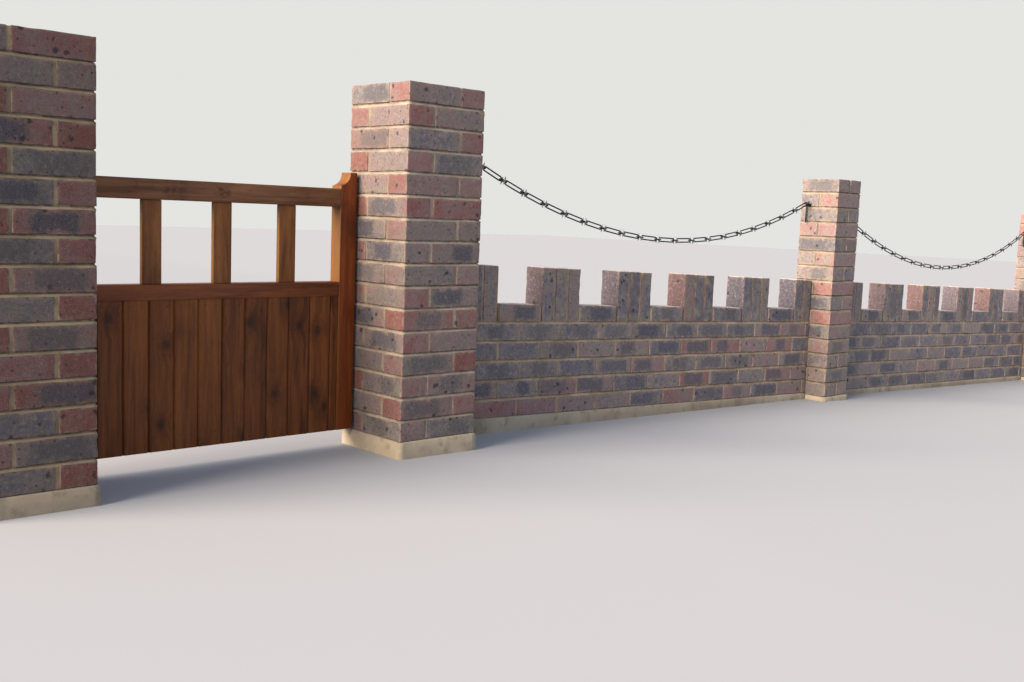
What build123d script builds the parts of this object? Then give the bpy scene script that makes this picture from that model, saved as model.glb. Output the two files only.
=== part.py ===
from build123d import *
import math
import os

# Garden wall: two brick piers with a timber gate between them, then two bays of
# low battlemented wall, each ending in a small brick pier, with a chain over each bay.
# Millimetres. X runs along the wall, Y from the street side to the garden side, Z up.
# The origin is the centre of the underside of the pier that carries the gate.

# Brick sizes
brick_length = 215.0
brick_width = 102.5
brick_height = 65.0
joint = 10.0
course = brick_height + joint

# Piers
gate_pier_courses = 16
small_pier_courses = 15
gate_pier_side = brick_length + joint + brick_width
small_pier_side = brick_length

# Bays of low wall
bay_bricks = 11
wall_courses = 5
wall_thickness = brick_width
soldiers_in_merlon = 3
soldiers_at_end = 2
fall = 1 / 27

# Rendered plinths
plinth_proud = 6.0
end_plinth_height = 40.0

# Gate leaf
gate_opening = 1020.0
gate_gap = 10.0
gate_thickness = 56.0
gate_set_in = 6.0
gate_ground_gap = 6.0
stile_width = 65.0
rail_line = 831.0
horn_height = 56.0
horn_flat = 28.0
horn_nib = 11.0
top_rail_height = 62.0
middle_rail_line = 515.0
middle_rail_height = 48.0
bottom_rail_height = 95.0
baluster_count = 3
baluster_width = 62.0
baluster_thickness = 18.0
baluster_set_back = 6.0
board_count = 11
board_thickness = 20.0
board_set_back = 3.0
board_groove = 5.0
brace_width = 70.0

# Gate hinges
pin_radius = 6.0
knuckle_radius = 11.0
knuckle_height = 40.0
pin_play = 0.3
band_thickness = 5.0
band_width = 40.0
band_length = 420.0
hinge_clearance = 5.0
pin_plate_width = 60.0
pin_plate_height = 100.0
pin_plate_inset = 8.0
pin_plate_margin = 10.0
pin_arm_height = 14.0
pin_stand = 8.0
knuckle_float = 1.0

# Chains
wire_radius = 3.0
link_bend = 8.0
long_link_pitch = 93.6
short_link_pitch = 27.4
chain_sag = 280.0
link_play = 0.3
spike_length = 17.0
spike_base = 9.0
spike_tip = 1.0
gate_pier_eye_height = 1048.0
small_pier_eye_height = 987.0
eye_shank = 12.0
eye_radius = 11.0
eye_rose_radius = 14.0
eye_rose_thickness = 3.0

# Places along the wall
bay_length = bay_bricks * (brick_length + joint) + joint
gate_pier_half = gate_pier_side / 2
rear = gate_pier_half
hanging_face = -gate_pier_half
closing_face = hanging_face - gate_opening
wall_start = gate_pier_half
middle_pier_start = wall_start + bay_length
middle_pier_end = middle_pier_start + small_pier_side
end_pier_start = middle_pier_end + bay_length
end_pier_end = end_pier_start + small_pier_side
gate_level = end_plinth_height + fall * (end_pier_end - wall_start)


def level(x):
    """Height of the plinth top at x: flat by the gate, then falling along the bays."""
    return gate_level - fall * max(0.0, x - wall_start)


def box(x0, x1, y0, y1, z0, z1):
    """Plain block between two corners."""
    return Pos(x0, y0, z0) * Box(x1 - x0, y1 - y0, z1 - z0, align=(Align.MIN, Align.MIN, Align.MIN))


def upright(points, y0, y1):
    """Outline in X and Z, given depth from y0 back to y1."""
    face = Plane.XZ * make_face(Polyline(*points, close=True))
    return Pos(0, y0, 0) * extrude(face, amount=-(y1 - y0))


def raked(x0, x1, y0, y1, low, high):
    """Block with plumb ends whose bottom and top follow the fall of the bays."""
    ends = [(x0, level(x0) + low), (x1, level(x1) + low), (x1, level(x1) + high), (x0, level(x0) + high)]
    return upright(ends, y0, y1)


# Piers and their plinths
def pier(x0, side, courses, base):
    return box(x0, x0 + side, rear - side, rear, base, base + courses * course - joint)


def pier_plinth(x0, side, base):
    """Rendered block under a pier, its top edge bevelled back to the brickwork."""
    p = plinth_proud
    body = box(x0 - p, x0 + side + p, rear - side - p, rear + p, 0, base)
    top_edges = body.faces().sort_by(Axis.Z)[-1].edges()
    return chamfer(top_edges, p)


# Battlemented bays
def merlon_spans(x0):
    """Left and right edges of each merlon, set out from the bay's lower end."""
    step = 2 * (brick_length + joint)
    gap = brick_length + 2 * joint
    right = x0 + bay_length
    left = right - joint - soldiers_at_end * course + joint
    spans = [(left, right)]
    merlon = soldiers_in_merlon * course - joint
    right = left - gap
    while right - merlon - gap - course > x0:
        spans.append((right - merlon, right))
        right -= step
    spans.append((x0, right))
    return spans[::-1]


def bay_wall(x0, spans):
    """Wall with a notch for each merlon, so that one brick stands between merlons."""
    bed = wall_courses * course - joint
    sill = bed + joint + brick_height
    x1 = x0 + bay_length
    points = [(x0, level(x0)), (x0, level(x0) + bed)]
    for left, right in spans:
        if left > x0:
            points += [(left, level(left) + sill), (left, level(left) + bed)]
        points.append((right, level(right) + bed))
        if right < x1:
            points.append((right, level(right) + sill))
    points.append((x1, level(x1)))
    return upright(points, rear - wall_thickness, rear)


def merlon(left, right):
    bed = wall_courses * course - joint
    return raked(left, right, rear - wall_thickness, rear, bed, bed + joint + brick_length)


def bay_plinth(x0):
    """Rendered strip under a bay, between the plinths of its two piers."""
    p = plinth_proud
    a, b = x0 + p, x0 + bay_length - p
    y0 = rear - wall_thickness
    body = upright([(a, 0), (b, 0), (b, level(b)), (a, level(a))], y0 - p, rear + p)
    along = body.faces().sort_by(Axis.Z)[-1].edges().sort_by(Axis.Y)
    return chamfer([along[0], along[-1]], p)


# Gate
leaf_right = hanging_face - gate_gap
leaf_left = closing_face + gate_gap
leaf_back = rear - gate_set_in
leaf_front = leaf_back - gate_thickness
leaf_foot = gate_level + gate_ground_gap
inner_left = leaf_left + stile_width
inner_right = leaf_right - stile_width
board_front = leaf_front + board_set_back
board_back = board_front + board_thickness


def stile(outer, inward):
    """Stile whose top stands over the rail as a horn with a hollow on the inner side."""
    top = leaf_foot + rail_line + horn_height
    nib = leaf_foot + rail_line + horn_nib
    inner = outer + inward * stile_width
    shoulder = outer + inward * horn_flat
    reach = stile_width - horn_flat
    drop = top - nib
    line = Polyline(
        (shoulder, top), (outer, top), (outer, leaf_foot), (inner, leaf_foot), (inner, nib)
    )
    mid = (inner - inward * reach * 0.66, nib + drop * 0.26)
    hollow = ThreePointArc((inner, nib), mid, (shoulder, top))
    face = Plane.XZ * make_face(line + hollow)
    return Pos(0, leaf_front, 0) * extrude(face, amount=-gate_thickness)


def rail(top, height, y0, y1):
    return box(inner_left, inner_right, y0, y1, leaf_foot + top - height, leaf_foot + top)


def balusters():
    clear = inner_right - inner_left - baluster_count * baluster_width
    space = clear / (baluster_count + 1)
    y0 = leaf_front + baluster_set_back
    for i in range(baluster_count):
        x0 = inner_left + space + i * (space + baluster_width)
        yield box(
            x0, x0 + baluster_width, y0, y0 + baluster_thickness,
            leaf_foot + middle_rail_line, leaf_foot + rail_line - top_rail_height,
        )


def boarding():
    """Upright boards side by side, with a V groove where two boards meet."""
    top = leaf_foot + middle_rail_line - middle_rail_height
    width = (inner_right - inner_left) / board_count
    g = board_groove
    outline = [(inner_left, board_back), (inner_left, board_front)]
    for i in range(1, board_count):
        x = inner_left + i * width
        outline += [(x - g, board_front), (x, board_front + g), (x + g, board_front)]
    outline += [(inner_right, board_front), (inner_right, board_back)]
    face = make_face(Polyline(*outline, close=True))
    return Pos(0, 0, leaf_foot) * extrude(face, amount=top - leaf_foot)


def brace():
    """Diagonal behind the boards, rising from the hinge side to the closing side."""
    z0 = leaf_foot + bottom_rail_height
    z1 = leaf_foot + middle_rail_line - middle_rail_height
    slope = math.hypot(inner_right - inner_left, z1 - z0) / (inner_right - inner_left)
    half = brace_width * slope
    points = [(inner_right, z0), (inner_right, z0 + half), (inner_left, z1), (inner_left, z1 - half)]
    return upright(points, board_back, leaf_back)


# Gate hinges: pins on the back of the hinge pier, bands across the back of the leaf
axis_x = hanging_face - gate_gap / 2
axis_y = rear + knuckle_radius + hinge_clearance
hinge_heights = (
    leaf_foot + bottom_rail_height / 2,
    leaf_foot + rail_line - top_rail_height / 2,
)


def band(z):
    """Strap along the leaf, turned out and rolled round the pin."""
    h = band_width
    end = leaf_right - band_length
    tip = end + band_width / 2
    outline = Polyline((leaf_right, z - h / 2), (tip, z - h / 3)) + ThreePointArc(
        (tip, z - h / 3), (tip - h / 3, z), (tip, z + h / 3)
    )
    outline += Polyline((tip, z + h / 3), (leaf_right, z + h / 2), (leaf_right, z - h / 2))
    strap = Pos(0, leaf_back, 0) * extrude(Plane.XZ * make_face(outline), amount=-band_thickness)
    low, high = z - knuckle_height / 2, z + knuckle_height / 2
    outer_x = axis_x - knuckle_radius
    crank = box(outer_x, outer_x + band_thickness, leaf_back, axis_y, low, high)
    knuckle = Pos(axis_x, axis_y, z) * Cylinder(knuckle_radius, knuckle_height)
    bore = Pos(axis_x, axis_y, z) * Cylinder(pin_radius + pin_play, 2 * knuckle_height)
    return strap + crank + knuckle - bore


def hinge_pin(z):
    """Plate on the pier with an arm below the knuckle and the pin standing on it."""
    low = z - knuckle_height / 2 - knuckle_float
    plate_x = hanging_face + pin_plate_inset
    plate_foot = low - pin_arm_height - pin_plate_margin
    plate = box(
        plate_x, plate_x + pin_plate_width, rear, rear + band_thickness,
        plate_foot, plate_foot + pin_plate_height,
    )
    arm = box(
        axis_x, plate_x + pin_plate_width / 2, axis_y - pin_radius, axis_y + pin_radius,
        low - pin_arm_height, low,
    )
    foot = box(
        plate_x + pin_plate_inset, plate_x + pin_plate_width / 2, rear, axis_y + pin_radius,
        low - pin_arm_height, low,
    )
    seat = Pos(axis_x, axis_y, low - pin_arm_height / 2) * Cylinder(knuckle_radius, pin_arm_height)
    length = knuckle_float + knuckle_height + pin_stand
    pin = Pos(axis_x, axis_y, low) * Cylinder(
        pin_radius, length, align=(Align.CENTER, Align.CENTER, Align.MIN)
    )
    return plate + arm + foot + seat + pin


# Chains
def bent_wire(corners):
    """Closed loop of wire that turns a mitred corner at each point."""
    path = Polyline(*corners, close=True)
    start = Plane(path @ 0, x_dir=(0, 0, 1), z_dir=path % 0)
    return sweep(start * RegularPolygon(wire_radius, 6), path=path, transition=Transition.RIGHT)


def link(pitch, spiked):
    """One closed link lying in X and Y, centred, as long inside as its pitch."""
    end = pitch / 2 + wire_radius
    slant = link_bend * (1 - math.tan(math.pi / 8))
    corners = []
    for x, y in ((1, 1), (1, -1), (-1, -1), (-1, 1)):
        side = (x * (end - slant), y * link_bend)
        nose = (x * end, y * (link_bend - slant))
        corners += [side, nose] if x * y > 0 else [nose, side]
    body = bent_wire([(0, link_bend)] + corners).clean()
    if spiked:
        lean = math.degrees(math.atan2((spike_base - spike_tip) / 2, spike_length))
        for side in (-1, 1):
            for up in (-1, 1):
                root = Plane((0, side * link_bend, 0), z_dir=(0, 0, up))
                body += extrude(root * Rectangle(spike_base, spike_base), amount=spike_length, taper=lean)
    return body


def catenary(span, drop, length):
    """Scale and lowest point of a chain of this length hung between two points."""
    target = math.sqrt(length * length - drop * drop) / span
    low, high = 1e-3, 3.0
    for _ in range(60):
        u = (low + high) / 2
        if math.sinh(u) / u < target:
            low = u
        else:
            high = u
    scale = span / (2 * u)
    middle = math.asinh(drop / (2 * scale * math.sinh(u)))
    return scale, span / 2 - scale * middle


def chain(x0, z0, x1, z1):
    """Long plain links and short spiked links in turn, hung between two eyes."""
    pair = long_link_pitch + short_link_pitch
    chord = math.hypot(x1 - x0, z1 - z0)
    hook = wire_radius + link_play
    hung = chord + 8 * chain_sag**2 / (3 * chord) + 2 * hook
    pairs = round((hung - long_link_pitch) / pair)
    pitches = [long_link_pitch, short_link_pitch] * pairs + [long_link_pitch]
    scale, low_x = catenary(x1 - x0, z1 - z0, sum(pitches) - 2 * hook)
    y = rear - wall_thickness / 2
    start = scale * math.sinh(-low_x / scale)
    base = z0 - scale * math.cosh(-low_x / scale)

    def point(s):
        x = low_x + scale * math.asinh((start + s) / scale)
        return x0 + x, base + scale * math.cosh((x - low_x) / scale)

    long_link = link(long_link_pitch - link_play, False)
    short_link = link(short_link_pitch - link_play, True)
    links = []
    s = -hook
    for i, pitch in enumerate(pitches):
        ax, az = point(s)
        bx, bz = point(s + pitch)
        angle = math.degrees(math.atan2(bz - az, bx - ax))
        turn = Rotation(0, -angle, 0)
        if i % 2 == 0:
            piece = turn * Rotation(90, 0, 0) * long_link
        else:
            piece = turn * short_link
        links.append(Pos((ax + bx) / 2, y, (az + bz) / 2) * piece)
        s += pitch
    return links


def spare_link(face_x, outward, z):
    """Last link of the chain, left over and hanging on the ring of its eye."""
    turn = Pos(eye_centre(face_x, outward), rear - wall_thickness / 2, z) * Rotation(0, 0, 45 * (2 + outward))
    drop = long_link_pitch / 2 - link_play
    return turn * Pos(eye_radius, 0, wire_radius - drop) * Rotation(90, 0, 0) * Rotation(0, 0, 90) * link(
        long_link_pitch - link_play, False
    )


def eye_centre(face_x, outward):
    return face_x + outward * (eye_shank + eye_radius - wire_radius / 2)


def eye(face_x, outward, z):
    """Round rose against the brick, a short shank and a ring lying flat."""
    turn = Pos(face_x, rear - wall_thickness / 2, z) * Rotation(0, 90 * outward, 0)
    rose = turn * extrude(RegularPolygon(eye_rose_radius, 12), amount=eye_rose_thickness)
    shank = turn * extrude(RegularPolygon(wire_radius, 6), amount=eye_shank)
    corners = [Vector(eye_radius, 0, 0).rotate(Axis.Z, 36 * i) for i in range(10)]
    ring = Pos(eye_centre(face_x, outward), rear - wall_thickness / 2, z) * bent_wire(corners)
    return rose + shank + ring


def eye_tip(face_x, outward):
    """Middle of the wire at the far side of an eye's ring, where the chain hooks on."""
    return eye_centre(face_x, outward) + outward * eye_radius


parts = {}
parts["left_gate_pier"] = pier(closing_face - gate_pier_side, gate_pier_side, gate_pier_courses, gate_level)
parts["left_gate_pier_plinth"] = pier_plinth(closing_face - gate_pier_side, gate_pier_side, gate_level)
parts["right_gate_pier"] = pier(hanging_face, gate_pier_side, gate_pier_courses, gate_level)
parts["right_gate_pier_plinth"] = pier_plinth(hanging_face, gate_pier_side, gate_level)
for name, x in (("middle_pier", middle_pier_start), ("end_pier", end_pier_start)):
    base = level(x + small_pier_side)
    parts[name] = pier(x, small_pier_side, small_pier_courses, base)
    parts[name + "_plinth"] = pier_plinth(x, small_pier_side, base)

for name, x, eye_height in (
    ("near", wall_start, gate_pier_eye_height),
    ("far", middle_pier_end, small_pier_eye_height),
):
    spans = merlon_spans(x)
    parts[name + "_wall"] = bay_wall(x, spans)
    parts[name + "_wall_plinth"] = bay_plinth(x)
    for i, (left, right) in enumerate(spans):
        parts[f"{name}_merlon_{i + 1}"] = merlon(left, right)
    x_end = x + bay_length
    z0 = level(x) + eye_height
    z1 = level(x_end + small_pier_side) + small_pier_eye_height
    parts[name + "_chain_eyes"] = Compound(children=[eye(x, 1, z0), eye(x_end, -1, z1)])
    links = chain(eye_tip(x, 1), z0, eye_tip(x_end, -1), z1)
    parts[name + "_chain"] = Compound(children=links + [spare_link(x_end, -1, z1)])

parts["hanging_stile"] = stile(leaf_right, -1)
parts["closing_stile"] = stile(leaf_left, 1)
parts["top_rail"] = rail(rail_line, top_rail_height, leaf_front, leaf_back)
parts["middle_rail"] = rail(middle_rail_line, middle_rail_height, leaf_front, leaf_back)
parts["bottom_rail"] = rail(bottom_rail_height, bottom_rail_height, board_back, leaf_back)
for i, piece in enumerate(balusters()):
    parts[f"baluster_{i + 1}"] = piece
parts["boarding"] = boarding()
parts["brace"] = brace()
for name, z in zip(("lower", "upper"), hinge_heights):
    parts[name + "_hinge_band"] = band(z)
    parts[name + "_hinge_pin"] = hinge_pin(z)

os.makedirs("parts", exist_ok=True)
for name, piece in parts.items():
    export_step(piece, f"parts/{name}.step")
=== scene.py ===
import math
import random
from functools import partial

import bmesh
import bpy
import numpy as np
from mathutils import Matrix, Vector, noise


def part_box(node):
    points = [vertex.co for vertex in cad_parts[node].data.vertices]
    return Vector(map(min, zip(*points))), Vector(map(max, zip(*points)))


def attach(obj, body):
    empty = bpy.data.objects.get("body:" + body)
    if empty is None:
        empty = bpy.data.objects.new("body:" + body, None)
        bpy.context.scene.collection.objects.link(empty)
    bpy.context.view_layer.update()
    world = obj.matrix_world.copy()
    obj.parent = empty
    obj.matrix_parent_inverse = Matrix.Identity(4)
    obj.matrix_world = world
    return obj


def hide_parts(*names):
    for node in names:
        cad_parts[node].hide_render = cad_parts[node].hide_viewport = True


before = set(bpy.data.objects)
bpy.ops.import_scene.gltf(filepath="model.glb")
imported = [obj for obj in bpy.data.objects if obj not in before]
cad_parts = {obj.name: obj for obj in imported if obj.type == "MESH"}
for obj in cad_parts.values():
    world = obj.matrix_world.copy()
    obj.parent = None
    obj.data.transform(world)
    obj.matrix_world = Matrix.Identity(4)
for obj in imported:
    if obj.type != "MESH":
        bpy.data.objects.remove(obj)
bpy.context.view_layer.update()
scene = bpy.context.scene
scene.view_settings.view_transform = "Standard"

# Brick gauge and the fall of the bays, in metres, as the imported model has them
BRICK = LENGTH, WIDTH, HEIGHT = 0.215, 0.1025, 0.065
JOINT = 0.010
COURSE = 0.075
GATE_PIER_COURSES, SMALL_PIER_COURSES, WALL_COURSES = 16, 15, 5
WALL_TOP = WALL_COURSES * COURSE
FALL = 1 / 27
GATE_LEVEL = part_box("right_gate_pier")[0].z
WALL_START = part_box("near_wall")[0].x
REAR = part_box("near_wall")[1].y


def level(x):
    """Height of the plinth tops: level at the gate, then falling along the bays."""
    return GATE_LEVEL - FALL * max(0.0, x - WALL_START)


# -------------------- node helpers
class Shader:
    """A new material or world, with short calls to add nodes."""

    def __init__(self, name, group=bpy.data.materials):
        self.owner = group.new(name)
        self.owner.use_nodes = True
        self.nodes = self.owner.node_tree.nodes
        self.links = self.owner.node_tree.links
        self.nodes.clear()

    def put(self, socket, value):
        """Links a socket, or sets a value, where a colour may be written as 8a5a3c."""
        if isinstance(value, bpy.types.NodeSocket):
            self.links.new(value, socket)
        elif isinstance(value, str):
            socket.default_value = (*rgb(value), 1.0)
        else:
            socket.default_value = value

    def node(self, kind, inputs=(), **props):
        n = self.nodes.new(kind)
        for key, value in props.items():
            setattr(n, key, value)
        for key, value in dict(inputs).items():
            self.put(n.inputs[key], value)
        return n

    def attribute(self, name, out="Fac"):
        return self.node("ShaderNodeAttribute", attribute_name=name).outputs[out]

    def place(self, out="Object"):
        return self.node("ShaderNodeTexCoord").outputs[out]

    def join(self, x, y, z=0.0):
        return self.node("ShaderNodeCombineXYZ", {0: x, 1: y, 2: z}).outputs[0]

    def math(self, op, a, b=0.0, clamp=False):
        return self.node("ShaderNodeMath", {0: a, 1: b}, operation=op, use_clamp=clamp).outputs[0]

    def times(self, a, b, clamp=False):
        return self.math("MULTIPLY", a, b, clamp)

    def plus(self, a, b, clamp=False):
        return self.math("ADD", a, b, clamp)

    def minus(self, a, b):
        return self.math("SUBTRACT", a, b)

    def over(self, a, b):
        return self.math("GREATER_THAN", a, b)

    def swing(self, value, by):
        """A noise about 0.5 as a swing about nought."""
        return self.times(self.minus(value, 0.5), by)

    def vec(self, op, a, b=(0, 0, 0)):
        return self.node("ShaderNodeVectorMath", {0: a, 1: b}, operation=op).outputs[0]

    def noise(self, at, scale, detail=2.0, rough=0.5, distort=0.0):
        n = self.node("ShaderNodeTexNoise", {"Vector": at, "Scale": scale, "Detail": detail,
                                             "Roughness": rough, "Distortion": distort})
        return n.outputs["Fac"]

    def scale(self, a, by):
        return self.node("ShaderNodeVectorMath", {0: a, 3: by}, operation="SCALE").outputs[0]

    def cells(self, at, scale, dimensions="3D"):
        n = self.node("ShaderNodeTexVoronoi", {"Vector": at, "Scale": scale},
                      voronoi_dimensions=dimensions)
        return n.outputs["Distance"], n.outputs["Color"]

    def ease(self, value, low, high, to_low=0.0, to_high=1.0):
        n = self.node("ShaderNodeMapRange", {"Value": value, "From Min": low, "From Max": high,
                                             "To Min": to_low, "To Max": to_high},
                      interpolation_type="SMOOTHSTEP")
        return n.outputs["Result"]

    def mix(self, fac, a, b, mode="MIX"):
        n = self.node("ShaderNodeMix", {0: fac, 6: a, 7: b}, data_type="RGBA", blend_type=mode)
        return n.outputs[2]

    def tinted(self, colour, *tints):
        """Mixes tints in, one after another: (where, from, to, share, tint)."""
        for value, low, high, share, tint in tints:
            colour = self.mix(self.ease(value, low, high, 0.0, share), colour, tint)
        return colour

    def ramp(self, fac, stops):
        n = self.node("ShaderNodeValToRGB", {"Fac": fac})
        r = n.color_ramp
        while len(r.elements) < len(stops):
            r.elements.new(0.5)
        for e, (at, colour) in zip(r.elements, stops):
            e.position = at
            e.color = (*rgb(colour), 1.0)
        return n.outputs["Color"]

    def split(self, colour):
        return self.node("ShaderNodeSeparateColor", {0: colour}).outputs

    def axes(self, vector):
        return self.node("ShaderNodeSeparateXYZ", {0: vector}).outputs

    def bump(self, height, strength, distance):
        sizes = {"Height": height, "Strength": strength, "Distance": distance}
        return self.node("ShaderNodeBump", sizes).outputs[0]

    def finish(self, colour, roughness, normal=None, **more):
        """Adds the Principled shader and gives the material."""
        inputs = {"Base Color": colour, "Roughness": roughness}
        if normal is not None:
            inputs["Normal"] = normal
        inputs.update((key.replace("_", " "), value) for key, value in more.items())
        surface = self.node("ShaderNodeBsdfPrincipled", inputs).outputs[0]
        self.node("ShaderNodeOutputMaterial", {0: surface})
        return self.owner


def rgb(code):
    """A written colour such as 8a5a3c, as linear values."""
    parts = [int(code[i:i + 2], 16) / 255 for i in (0, 2, 4)]
    return tuple(c / 12.92 if c <= 0.04045 else ((c + 0.055) / 1.055) ** 2.4 for c in parts)


# -------------------- materials
def brick_material():
    """Multicoloured brick: each carries its own tone and kiln mark in attributes."""
    s = Shader("brick")
    own = s.attribute("brick_own", "Color")
    tone_and_painted_light = s.attribute("brick_own", "Alpha")
    local = s.attribute("brick_local", "Vector")
    unit = s.attribute("brick_unit", "Vector")
    edge = s.attribute("brick_edge")
    mark = s.attribute("brick_mark")
    tone, mark_at, mark_half = s.split(own)[:3]
    at = s.vec("ADD", local, s.scale(own, 31.0))
    lx, _, lz = s.axes(local)[:3]
    ux, _, uz = [s.math("ABSOLUTE", a) for a in s.axes(unit)[:3]]
    end = s.over(ux, 0.975)
    bed = s.over(uz, 0.955)
    broad = s.noise(at, 13.0, 3.0)
    smoke = s.noise(at, 38.0, 4.0, 0.6, 0.5)
    middle = s.noise(at, 95.0, 4.0, 0.6)
    fine = s.noise(at, 430.0, 3.0, 0.65)
    upright = s.attribute("brick_upright")
    header = s.attribute("brick_header")
    drag = s.vec("ADD", s.place(), s.scale(own, 31.0))
    creases = s.noise(s.vec("MULTIPLY", drag, (230.0, 230.0, 40.0)), 1.0, 3.0, 0.6)
    streaks = s.noise(s.vec("MULTIPLY", drag, (75.0, 75.0, 9.0)), 1.0, 3.0, 0.55)

    # Smoky mottling, redder towards the ends of a stretcher and on headers
    t = s.plus(tone, s.swing(broad, 0.60))
    t = s.plus(t, s.swing(smoke, 0.55))
    t = s.plus(t, s.swing(middle, 0.45))
    t = s.plus(t, s.swing(streaks, s.times(upright, 0.9)))
    t = s.plus(t, s.times(s.ease(ux, 0.62, 0.95), 0.08))
    t = s.plus(t, s.times(end, header), clamp=True)
    face = s.ramp(t, [(0.0, "53515b"), (0.20, "615e65"), (0.40, "746b68"),
                      (0.58, "7c6b69"), (0.78, "80605e"), (1.0, "7d4e46")])
    # Greenish ash in places, mostly near the ends
    ash = s.noise(s.vec("ADD", at, (9.0, 4.0, 2.0)), 26.0, 3.0, 0.6)
    ash = s.times(s.ease(ash, 0.40, 0.74), s.ease(ux, 0.30, 0.90, 0.45, 0.85))
    ash = s.times(ash, s.ease(t, 0.55, 0.90, 1.0, 0.30))
    ash = s.times(ash, s.plus(1.0, s.times(upright, 0.9)), clamp=True)
    face = s.mix(ash, face, "7a7565")

    # Dark blue kiss mark where another brick lay on it in the kiln
    warp = s.swing(smoke, 0.036)
    off = s.math("ABSOLUTE", s.minus(lx, s.minus(mark_at, 0.5)))
    inside = s.ease(s.minus(mark_half, s.plus(off, warp)), -0.014, 0.014)
    high = s.ease(s.plus(s.math("ABSOLUTE", lz), warp), 0.034, 0.018)
    kiss = s.times(s.times(inside, high), mark)
    kiss = s.times(kiss, s.minus(1.0, bed))
    kiss = s.times(kiss, s.ease(middle, 0.25, 0.60, 0.70, 1.0))
    rim = s.times(s.times(kiss, s.minus(1.0, kiss)), 1.9)
    face = s.mix(rim, face, "787161")
    face = s.mix(s.times(kiss, 0.88), face, "414450")

    # Bed faces are coarse and speckled
    speck = s.noise(at, 420.0, 2.0, 0.6)
    of_one = s.ease(s.noise(s.scale(own, 57.0), 1.0, 0.0), 0.36, 0.62)
    bed_shade = s.attribute("brick_bed")
    of_one = s.plus(of_one, s.times(s.minus(bed_shade, 1.0), 1.4))
    coarse = s.plus(of_one, s.swing(smoke, 0.7), clamp=True)
    coarse = s.ramp(coarse, [(0.0, "403f49"), (0.50, "4b4348"), (1.0, "563f3e")])
    coarse = s.tinted(coarse, (speck, 0.52, 0.68, 0.65, "6d6a6c"),
                      (speck, 0.46, 0.32, 0.75, "29252a"))
    face = s.mix(bed, face, s.scale(coarse, bed_shade))

    face = s.tinted(face, (creases, 0.46, 0.74, 0.13, "a1958f"),
                    (fine, 0.56, 0.36, 0.40, "37303a"), (fine, 0.56, 0.74, 0.34, "b9ada8"),
                    (middle, 0.54, 0.72, 0.34, "9d918c"), (middle, 0.47, 0.28, 0.45, "3c373d"))

    # Lighter, redder arrises, and mortar smeared over the edges
    worn = s.times(edge, s.ease(smoke, 0.40, 0.66))
    face = s.mix(s.times(worn, 0.42), face, "a37f75")
    smear = s.plus(s.times(edge, 0.92), s.swing(smoke, 1.5))
    smear = s.times(s.ease(smear, 0.66, 0.94), s.minus(1.0, bed))
    face = s.mix(s.times(smear, 0.80), face, "94887a")

    # Burnt spots, small ones and a few large
    near, pick = s.cells(at, 58.0)
    near = s.plus(near, s.swing(fine, 0.20))
    small = s.times(s.ease(near, 0.25, 0.13), s.over(s.split(pick)[0], 0.66))
    near, pick = s.cells(s.vec("ADD", at, (3.0, 5.0, 7.0)), 24.0)
    near = s.plus(near, s.swing(middle, 0.34))
    large = s.times(s.ease(near, 0.24, 0.10), s.over(s.split(pick)[1], 0.58))
    pits = s.math("MAXIMUM", s.times(small, 0.80), large)
    face = s.mix(s.times(pits, 0.78), face, "26252d")
    # Dust and old mortar on what lies open to the sky, together with painted sky light: faces that
    # look up are lighter, a soldier's more so
    facing = s.axes(s.place("Normal"))[2]
    top = s.ease(s.plus(facing, s.times(upright, 0.28)), 0.60, 0.90)
    top = s.times(top, s.ease(smoke, 0.35, 0.60, 0.40, 0.85))
    face = s.mix(top, face, "b8afa2")
    # Scales each brick by its random tone times its piece's painted light: painted shade darkens
    # the left gate pier, painted light lightens the bays and small piers
    face = s.scale(face, tone_and_painted_light)

    height = s.plus(s.times(middle, 0.9), s.times(fine, 0.60))
    height = s.plus(height, s.times(creases, 0.25))
    height = s.minus(height, s.times(pits, 0.8))
    height = s.plus(height, s.times(s.times(speck, bed), 1.2))
    roughness = s.ease(middle, 0.2, 0.8, 0.78, 0.94)
    return s.finish(face, roughness, s.bump(height, 0.6, 0.0014), Specular_IOR_Level=0.3)


def mortar_material():
    """Gritty mortar, with painted sky light on the brick below (tint -1) and painted shade under
    the one above (tint 1).
    """
    s = Shader("mortar")
    at = s.place()
    tint = s.attribute("joint_painted_shading")
    broad = s.noise(at, 5.0, 3.0)
    middle = s.noise(at, 45.0, 4.0, 0.6)
    grit = s.noise(at, 900.0, 3.0, 0.7)
    colour = s.ramp(broad, [(0.30, "796e65"), (0.50, "8c7f70"), (0.70, "9d9182")])
    # The last tint below is painted sky light along the lower lip of each joint
    colour = s.tinted(colour, (middle, 0.50, 0.72, 0.55, "726756"),
                      (grit, 0.52, 0.70, 0.5, "cdc2a8"), (grit, 0.45, 0.30, 0.55, "5c5443"),
                      (tint, 0.0, -1.0, 0.36, "b4a894"))
    # Broken shadow line under each brick
    shadow = s.times(s.ease(tint, 0.1, 1.0), s.ease(middle, 0.38, 0.60, 0.75, 0.15))
    colour = s.mix(shadow, colour, "463b30")
    # Each piece's joint colour: partly its own tint, partly painted light, with painted shade
    # darkest on the left gate pier
    colour = s.mix(1.0, colour, s.attribute("mortar_tint_and_painted_light", "Color"), "MULTIPLY")
    # Lighter and darker stretches
    patch = s.noise(s.vec("ADD", at, (3.0, 8.0, 5.0)), 11.0, 3.0, 0.6)
    colour = s.scale(colour, s.ease(patch, 0.34, 0.62, 0.74, 1.10))
    height = s.plus(grit, s.times(middle, 0.9))
    return s.finish(colour, 0.93, s.bump(height, 0.7, 0.0012), Specular_IOR_Level=0.25)


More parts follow.
